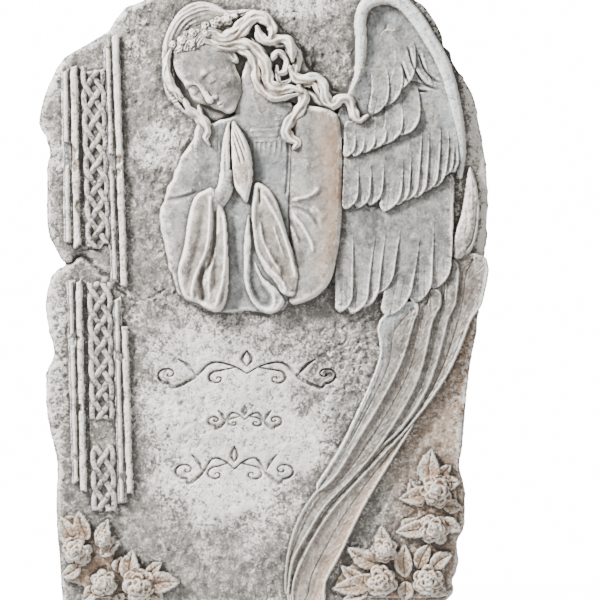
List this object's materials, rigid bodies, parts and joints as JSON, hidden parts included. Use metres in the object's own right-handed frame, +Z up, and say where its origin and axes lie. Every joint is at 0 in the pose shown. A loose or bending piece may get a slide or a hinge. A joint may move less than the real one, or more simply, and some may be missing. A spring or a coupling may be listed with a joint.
{
  "type": "angel memorial plaque",
  "caption": "Cast resin relief plaque of a praying angel with a long feathered wing, plaited border and rose clusters, with a swinging ring hanger on its back.",
  "frame": {"origin": "centre of the bounding box's base, on the surface the plaque stands on", "axes": "+X to the viewer's right, +Y to the back of the plaque, which faces a wall, +Z up; the relief faces -Y"},
  "size_m": [0.215, 0.0326, 0.304],
  "materials": {
    "slab_stone": "rough cast stone with a dark antique wash and pale dry-brushing",
    "rail_stone": "cast stone with a warm cream dry-brush",
    "wing_stone": "smooth cast stone with a dark wash in the grooves",
    "figure_stone": "smooth cast stone, dry-brushed pale on its high parts",
    "flower_stone": "cast stone with a warm tan wash",
    "zinc_steel": "zinc-plated steel",
    "rubber": "matte black rubber"
  },
  "bodies": {
    "plaque": {"backing_slab": "slab_stone", "bumper_pad_left": "rubber", "bumper_pad_right": "rubber", "chin_lock": "figure_stone", "collar": "figure_stone", "edge_feather": "wing_stone", "far_hand": "figure_stone", "flight_feather_1": "wing_stone", "flight_feather_2": "wing_stone", "flight_feather_3": "wing_stone", "flight_feather_4": "wing_stone", "flight_feather_5": "wing_stone", "flower_wreath": "figure_stone", "hair_crown": "figure_stone", "hair_sweep": "figure_stone", "hair_wave": "figure_stone", "hanger_screw_lower": "zinc_steel", "hanger_screw_upper": "zinc_steel", "head": "figure_stone", "inner_thick_rail_lower": "rail_stone", "inner_thick_rail_upper": "rail_stone", "inner_thin_rail_lower": "rail_stone", "inner_thin_rail_upper": "rail_stone", "knotwork_lower": "slab_stone", "knotwork_upper": "slab_stone", "left_foliage": "flower_stone", "left_rose_base": "flower_stone", "left_rose_inner": "flower_stone", "left_rose_outer": "flower_stone", "left_rosebud": "flower_stone", "left_sleeve": "figure_stone", "left_upper_arm": "figure_stone", "lower_coverts": "wing_stone", "middle_coverts": "wing_stone", "near_hand": "figure_stone", "neck": "figure_stone", "outer_thick_rail_lower": "rail_stone", "outer_thick_rail_upper": "rail_stone", "outer_thin_rail_lower": "rail_stone", "outer_thin_rail_upper": "rail_stone", "right_cuff_loop": "figure_stone", "right_foliage_lower": "flower_stone", "right_foliage_upper": "flower_stone", "right_rose_base": "flower_stone", "right_rose_inner": "flower_stone", "right_rose_middle": "flower_stone", "right_rose_outer": "flower_stone", "right_rose_top": "flower_stone", "right_sleeve": "figure_stone", "right_upper_arm": "figure_stone", "robe_chest": "figure_stone", "shoulder_curl": "figure_stone", "shoulder_feathers": "wing_stone", "strap_hanger": "zinc_steel", "temple_lock": "figure_stone", "upper_coverts": "wing_stone", "wing_core": "wing_stone", "wing_leading_edge": "wing_stone"},
    "ring": {"d_ring": "zinc_steel"}
  },
  "joints": [
    {"name": "ring_swing", "type": "hinge", "parent": "plaque", "child": "ring", "pos_m": [0, 0.0109, 0.262], "axis": [1, 0, 0], "range_deg": [0, 180]}
  ]
}
